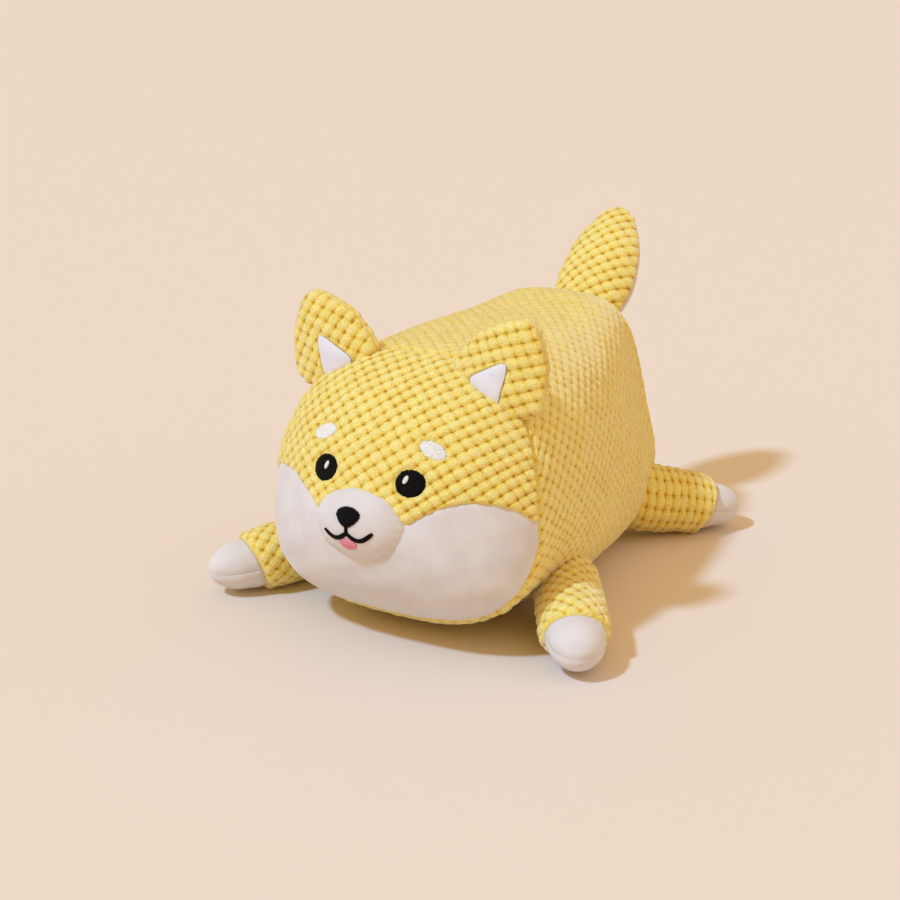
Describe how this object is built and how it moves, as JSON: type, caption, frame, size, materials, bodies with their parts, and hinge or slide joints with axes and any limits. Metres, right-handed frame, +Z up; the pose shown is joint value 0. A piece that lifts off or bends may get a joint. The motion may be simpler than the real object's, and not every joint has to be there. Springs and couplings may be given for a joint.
{
  "type": "squeaky plush dog toy",
  "caption": "Stuffed plush dog lying on its belly with splayed legs, upright ears and tail, an embroidered face and a bellows squeaker inside.",
  "frame": {"origin": "on the floor under the middle of the toy's box, where the flat of the belly rests", "axes": "+Z up, the dog looks along -Y, +X is the dog's left"},
  "size_m": [0.1568, 0.2092, 0.1196],
  "materials": {
    "yellow_plush": "matte",
    "white_plush": "matte",
    "black_thread": "satin",
    "white_thread": "satin",
    "pink_thread": "satin",
    "fibre_fill": "matte",
    "squeaker_plastic": "satin"
  },
  "bodies": {
    "root": {"face_panel": "yellow_plush", "cheek_panel": "white_plush", "muzzle_panel": "white_plush", "muzzle_stuffing": "fibre_fill", "back_panel": "yellow_plush", "belly_panel": "yellow_plush", "rump_panel": "yellow_plush", "upper_stuffing": "fibre_fill", "lower_stuffing": "fibre_fill", "nose": "black_thread", "mouth": "black_thread", "tongue": "pink_thread", "left_eye": "black_thread", "right_eye": "black_thread", "left_eye_glint": "white_thread", "right_eye_glint": "white_thread", "left_brow": "white_thread", "right_brow": "white_thread", "squeaker_base": "squeaker_plastic", "squeaker_bellows": "squeaker_plastic", "squeaker_plug": "squeaker_plastic", "squeaker_reed": "squeaker_plastic"},
    "left_ear": {"left_ear_front": "yellow_plush", "left_ear_back": "yellow_plush", "left_ear_inner": "white_plush"},
    "right_ear": {"right_ear_front": "yellow_plush", "right_ear_back": "yellow_plush", "right_ear_inner": "white_plush"},
    "tail": {"tail_front": "yellow_plush", "tail_back": "white_plush", "tail_stuffing": "fibre_fill"},
    "left_front_leg": {"left_front_leg_sleeve": "yellow_plush", "left_front_leg_paw_top": "white_plush", "left_front_leg_paw_sole": "white_plush", "left_front_leg_stuffing": "fibre_fill"},
    "right_front_leg": {"right_front_leg_sleeve": "yellow_plush", "right_front_leg_paw_top": "white_plush", "right_front_leg_paw_sole": "white_plush", "right_front_leg_stuffing": "fibre_fill"},
    "left_hind_leg": {"left_hind_leg_sleeve": "yellow_plush", "left_hind_leg_paw_top": "white_plush", "left_hind_leg_paw_sole": "white_plush", "left_hind_leg_stuffing": "fibre_fill"},
    "right_hind_leg": {"right_hind_leg_sleeve": "yellow_plush", "right_hind_leg_paw_top": "white_plush", "right_hind_leg_paw_sole": "white_plush", "right_hind_leg_stuffing": "fibre_fill"},
    "squeaker_top": {"squeaker_cap": "squeaker_plastic"}
  },
  "joints": [
    {"name": "left_ear_fold", "type": "hinge", "parent": "root", "child": "left_ear", "pos_m": [0.032, -0.05781, 0.091], "axis": [0.9272, 0, -0.3746], "range_deg": [-15, 35], "stiffness_Nm_per_rad": 0.01},
    {"name": "right_ear_fold", "type": "hinge", "parent": "root", "child": "right_ear", "pos_m": [-0.032, -0.05781, 0.091], "axis": [0.9272, 0, 0.3746], "range_deg": [-15, 35], "stiffness_Nm_per_rad": 0.01},
    {"name": "tail_wag", "type": "hinge", "parent": "root", "child": "tail", "pos_m": [0, 0.07119, 0.082], "axis": [0, -0.7547, 0.6561], "range_deg": [-20, 20], "stiffness_Nm_per_rad": 0.02},
    {"name": "left_front_leg_swing", "type": "hinge", "parent": "root", "child": "left_front_leg", "pos_m": [0.047, -0.03381, 0.0135], "axis": [0, 0, 1], "range_deg": [0, 35], "stiffness_Nm_per_rad": 0.02},
    {"name": "right_front_leg_swing", "type": "hinge", "parent": "root", "child": "right_front_leg", "pos_m": [-0.047, -0.03381, 0.0135], "axis": [0, 0, -1], "range_deg": [0, 35], "stiffness_Nm_per_rad": 0.02},
    {"name": "left_hind_leg_swing", "type": "hinge", "parent": "root", "child": "left_hind_leg", "pos_m": [0.036, 0.05719, 0.0155], "axis": [0, 0, -1], "range_deg": [0, 30], "stiffness_Nm_per_rad": 0.02},
    {"name": "right_hind_leg_swing", "type": "hinge", "parent": "root", "child": "right_hind_leg", "pos_m": [-0.036, 0.05719, 0.0155], "axis": [0, 0, 1], "range_deg": [0, 30], "stiffness_Nm_per_rad": 0.02},
    {"name": "squeaker_press", "type": "slide", "parent": "root", "child": "squeaker_top", "axis": [0, 0, -1], "range_m": [0, 0.009], "stiffness_N_per_m": 500, "deforming": ["squeaker_bellows"]}
  ]
}
